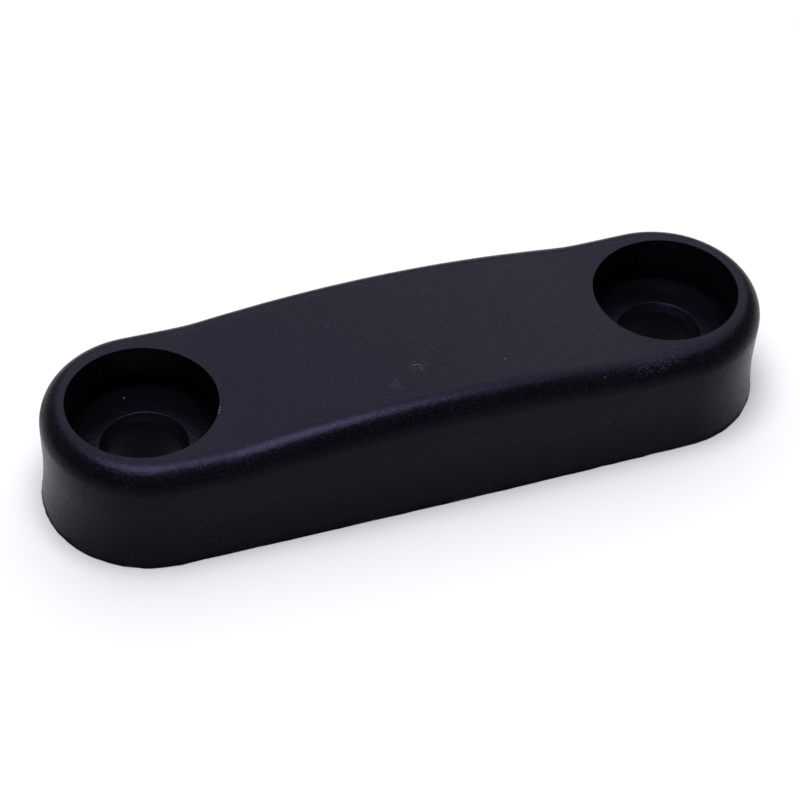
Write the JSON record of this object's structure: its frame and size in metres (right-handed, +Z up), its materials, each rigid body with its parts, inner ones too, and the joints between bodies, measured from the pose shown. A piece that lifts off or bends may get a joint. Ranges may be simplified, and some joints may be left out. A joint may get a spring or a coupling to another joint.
{
  "type": "chair armrest pad",
  "caption": "Low round-ended moulded pad with an arched top, held down by screws in deep stepped wells, over a foam core with a steel reinforcement.",
  "frame": {"origin": "centre of the flat base, on the surface the pad is screwed to", "axes": "+X along the pad from the left well to the right well, +Z up from the base, out of the mouths of the wells"},
  "size_m": [0.1398, 0.041, 0.0245],
  "materials": {
    "skin": "matte",
    "foam": "matte",
    "steel": "satin"
  },
  "bodies": {
    "root": {"pad_skin": "skin", "foam_core": "foam", "base_plate": "steel", "left_sleeve": "steel", "right_sleeve": "steel", "left_load_washer": "steel", "right_load_washer": "steel"}
  },
  "joints": []
}
